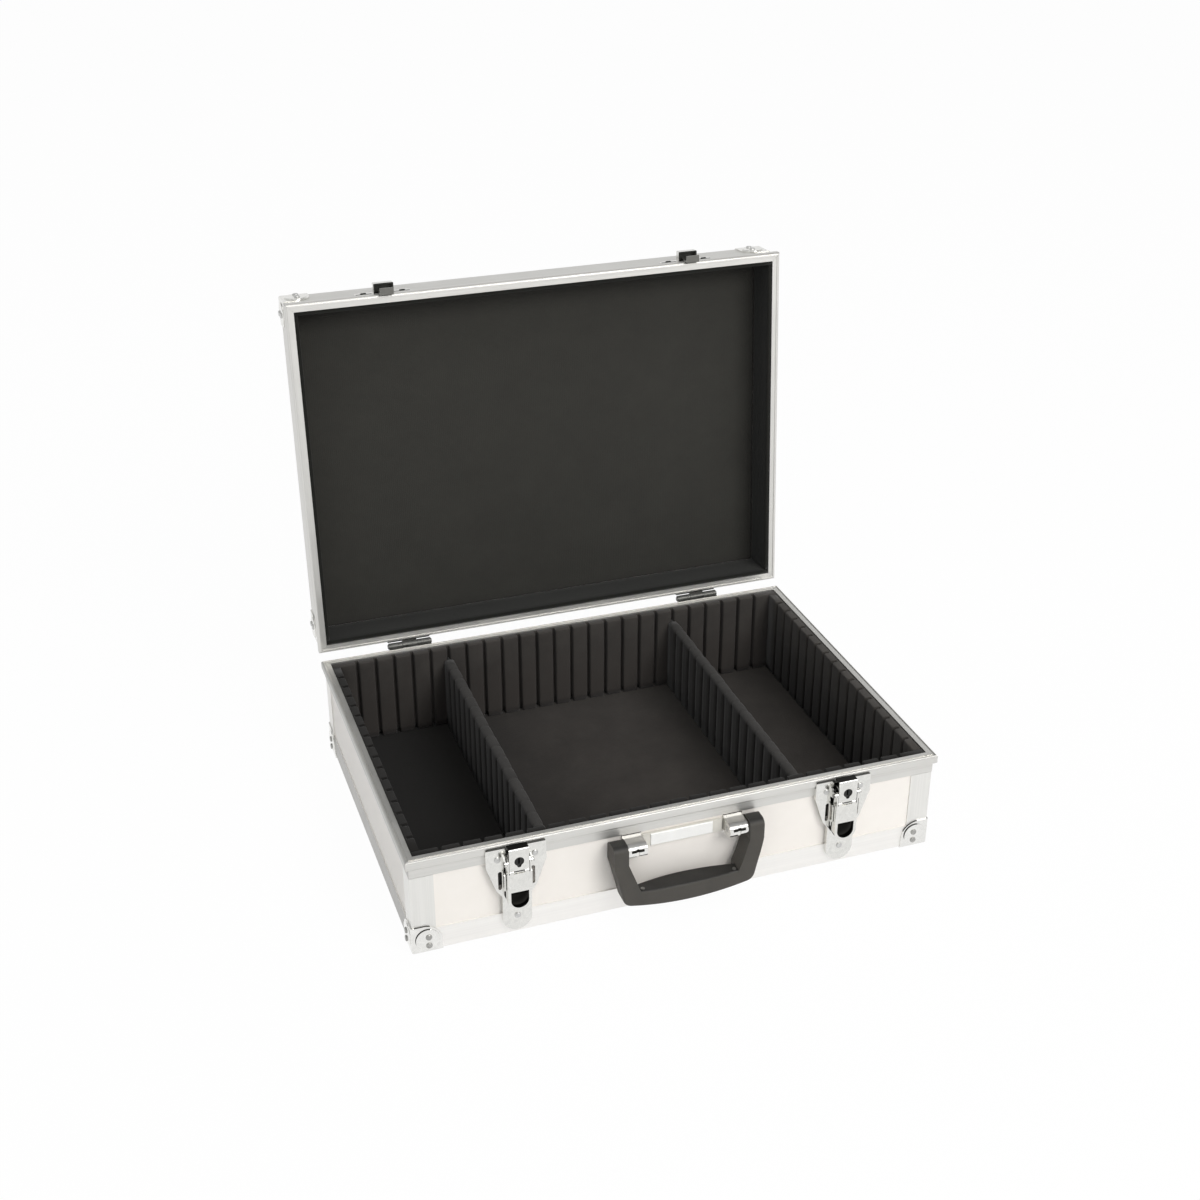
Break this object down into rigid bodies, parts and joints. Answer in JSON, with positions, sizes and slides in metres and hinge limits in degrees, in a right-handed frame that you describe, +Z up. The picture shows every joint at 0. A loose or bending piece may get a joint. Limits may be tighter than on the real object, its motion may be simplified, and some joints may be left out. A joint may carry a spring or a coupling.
{
  "type": "tool case",
  "caption": "Hinged aluminium-framed tool case with light panels, foam-lined base with lift-out dividers, draw latches, corner caps and a folding carrying handle.",
  "frame": {"origin": "middle of the case's footprint, on the plane that the four corner caps stand on", "axes": "+X to the right along the case's length, -Y towards the front with the handle and latches, +Z up"},
  "size_m": [0.4256, 0.3879, 0.397],
  "materials": {
    "panels": "satin",
    "extrusions": "satin",
    "corner_caps": "polished",
    "bright_fittings": "polished",
    "fasteners": "satin",
    "hinges": "satin",
    "lock_metal": "matte",
    "foam": "matte",
    "grip_plastic": "matte",
    "carrier_metal": "satin",
    "white_plate": "gloss"
  },
  "bodies": {
    "base": {"bottom_panel": "panels", "front_panel": "panels", "rear_panel": "panels", "left_panel": "panels", "right_panel": "panels", "base_rim": "extrusions", "base_bottom_edges": "extrusions", "base_corner_posts": "extrusions", "base_corner_caps": "corner_caps", "base_cap_rivets": "fasteners", "floor_liner": "foam", "front_liner": "foam", "rear_liner": "foam", "left_liner": "foam", "right_liner": "foam", "handle_plate": "carrier_metal", "name_plate": "white_plate", "handle_bracket_left": "bright_fittings", "handle_bracket_right": "bright_fittings", "handle_pins": "fasteners", "latch_plate_left": "bright_fittings", "latch_plate_right": "bright_fittings", "lever_pins_left": "fasteners", "lever_pins_right": "fasteners", "latch_rivets": "fasteners", "hinge_base_leaf_left": "hinges", "hinge_base_leaf_right": "hinges", "hinge_pin_left": "hinges", "hinge_pin_right": "hinges", "hinge_base_rivets": "fasteners"},
    "lid": {"lid_top_panel": "panels", "lid_front_panel": "panels", "lid_rear_panel": "panels", "lid_left_panel": "panels", "lid_right_panel": "panels", "lid_rim": "extrusions", "lid_top_edges": "extrusions", "lid_corner_caps": "corner_caps", "lid_cap_rivets": "fasteners", "lid_liner_panel": "foam", "lid_liner_walls": "foam", "hinge_lid_leaf_left": "hinges", "hinge_lid_leaf_right": "hinges", "hinge_lid_rivets": "fasteners", "strike_left": "bright_fittings", "strike_right": "bright_fittings", "strike_rivets": "fasteners"},
    "handle": {"handle_grip": "grip_plastic", "handle_screws": "fasteners"},
    "lever_left": {"latch_lever_left": "bright_fittings", "hasp_pin_left": "fasteners"},
    "hasp_left": {"latch_hasp_left": "bright_fittings"},
    "lock_left": {"lock_barrel_left": "lock_metal"},
    "lever_right": {"latch_lever_right": "bright_fittings", "hasp_pin_right": "fasteners"},
    "hasp_right": {"latch_hasp_right": "bright_fittings"},
    "lock_right": {"lock_barrel_right": "lock_metal"},
    "divider_left": {"divider_left": "foam"},
    "divider_right": {"divider_right": "foam"}
  },
  "joints": [
    {"name": "lid_hinge", "type": "hinge", "parent": "base", "child": "lid", "pos_m": [0, 0.1556, 0.08415], "axis": [-1, 0, 0], "range_deg": [-94.6, 0]},
    {"name": "handle_pivot", "type": "hinge", "parent": "base", "child": "handle", "pos_m": [0, -0.158, 0.06], "axis": [-1, 0, 0], "range_deg": [0, 110]},
    {"name": "lever_pivot_left", "type": "hinge", "parent": "base", "child": "lever_left", "pos_m": [-0.131, -0.159, 0.0715], "axis": [-1, 0, 0], "range_deg": [0, 80]},
    {"name": "hasp_pivot_left", "type": "hinge", "parent": "lever_left", "child": "hasp_left", "pos_m": [-0.131, -0.1599, 0.0637], "axis": [-1, 0, 0], "range_deg": [-80, 0]},
    {"name": "lock_turn_left", "type": "hinge", "parent": "hasp_left", "child": "lock_left", "pos_m": [-0.131, -0.161, 0.073], "axis": [0, -1, 0], "range_deg": [0, 90]},
    {"name": "lever_pivot_right", "type": "hinge", "parent": "base", "child": "lever_right", "pos_m": [0.131, -0.159, 0.0715], "axis": [-1, 0, 0], "range_deg": [0, 80]},
    {"name": "hasp_pivot_right", "type": "hinge", "parent": "lever_right", "child": "hasp_right", "pos_m": [0.131, -0.1599, 0.0637], "axis": [-1, 0, 0], "range_deg": [-80, 0]},
    {"name": "lock_turn_right", "type": "hinge", "parent": "hasp_right", "child": "lock_right", "pos_m": [0.131, -0.161, 0.073], "axis": [0, -1, 0], "range_deg": [0, 90]},
    {"name": "divider_lift_left", "type": "slide", "parent": "base", "child": "divider_left", "axis": [0, 0, 1], "range_m": [0, 0.08]},
    {"name": "divider_lift_right", "type": "slide", "parent": "base", "child": "divider_right", "axis": [0, 0, 1], "range_m": [0, 0.08]}
  ],
  "couplings": [
    {"joint": "hasp_pivot_left", "follows": "lever_pivot_left", "ratio": -1},
    {"joint": "hasp_pivot_right", "follows": "lever_pivot_right", "ratio": -1}
  ]
}
